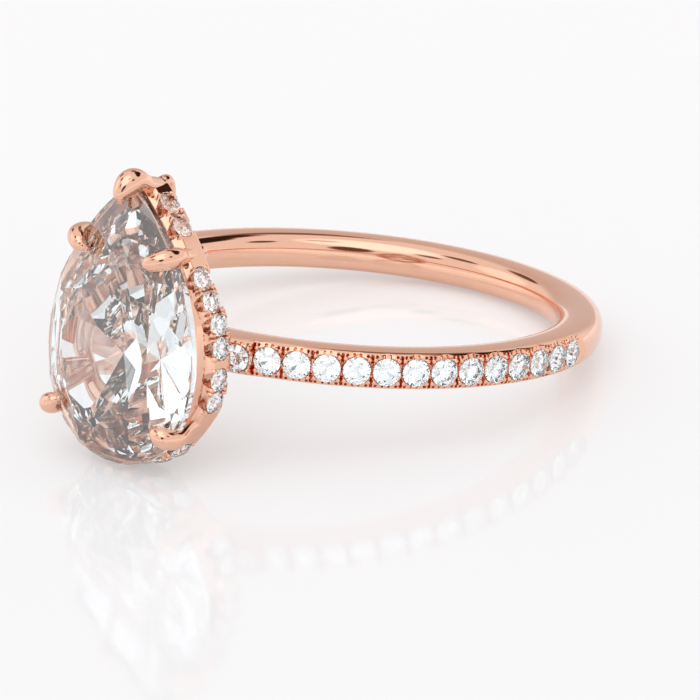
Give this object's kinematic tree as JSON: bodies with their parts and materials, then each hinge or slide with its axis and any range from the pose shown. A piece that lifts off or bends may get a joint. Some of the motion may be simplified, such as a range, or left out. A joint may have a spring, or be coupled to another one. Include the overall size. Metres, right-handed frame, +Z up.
{
  "type": "engagement ring",
  "caption": "Engagement ring with a large pear-cut stone held by claws over a hidden halo, on a slim band set with small round stones along both shoulders.",
  "frame": {"origin": "centre of the bounding box's bottom, on the table that the ring lies on", "axes": "+Z up from the table. -Y is the side of the large stone and +Y the plain back of the band. X runs across the ring, along the two shoulders of the head. The finger axis leans towards +Y by about ten degrees from +Z, because the head props that side of the ring up."},
  "size_m": [0.02, 0.0234, 0.0113],
  "materials": {
    "rose_gold": "polished",
    "diamond": "faceted, clear"
  },
  "bodies": {
    "root": {"band": "rose_gold", "band_stone_left_01": "diamond", "band_stone_left_02": "diamond", "band_stone_left_03": "diamond", "band_stone_left_04": "diamond", "band_stone_left_05": "diamond", "band_stone_left_06": "diamond", "band_stone_left_07": "diamond", "band_stone_left_08": "diamond", "band_stone_left_09": "diamond", "band_stone_left_10": "diamond", "band_stone_left_11": "diamond", "band_stone_left_12": "diamond", "band_stone_left_13": "diamond", "band_stone_left_14": "diamond", "band_stone_right_01": "diamond", "band_stone_right_02": "diamond", "band_stone_right_03": "diamond", "band_stone_right_04": "diamond", "band_stone_right_05": "diamond", "band_stone_right_06": "diamond", "band_stone_right_07": "diamond", "band_stone_right_08": "diamond", "band_stone_right_09": "diamond", "band_stone_right_10": "diamond", "band_stone_right_11": "diamond", "band_stone_right_12": "diamond", "band_stone_right_13": "diamond", "band_stone_right_14": "diamond", "centre_stone": "diamond", "claw_lower_left": "rose_gold", "claw_lower_right": "rose_gold", "claw_point": "rose_gold", "claw_upper_left": "rose_gold", "claw_upper_right": "rose_gold", "collar": "rose_gold", "halo_rail": "rose_gold", "halo_stone_01": "diamond", "halo_stone_02": "diamond", "halo_stone_03": "diamond", "halo_stone_04": "diamond", "halo_stone_05": "diamond", "halo_stone_06": "diamond", "halo_stone_07": "diamond", "halo_stone_08": "diamond", "halo_stone_09": "diamond", "halo_stone_10": "diamond", "halo_stone_11": "diamond", "halo_stone_12": "diamond", "halo_stone_13": "diamond", "halo_stone_14": "diamond", "halo_stone_15": "diamond", "halo_stone_16": "diamond", "halo_stone_17": "diamond", "halo_stone_18": "diamond", "halo_stone_19": "diamond", "halo_stone_20": "diamond", "halo_stone_21": "diamond", "halo_stone_22": "diamond"}
  },
  "joints": []
}
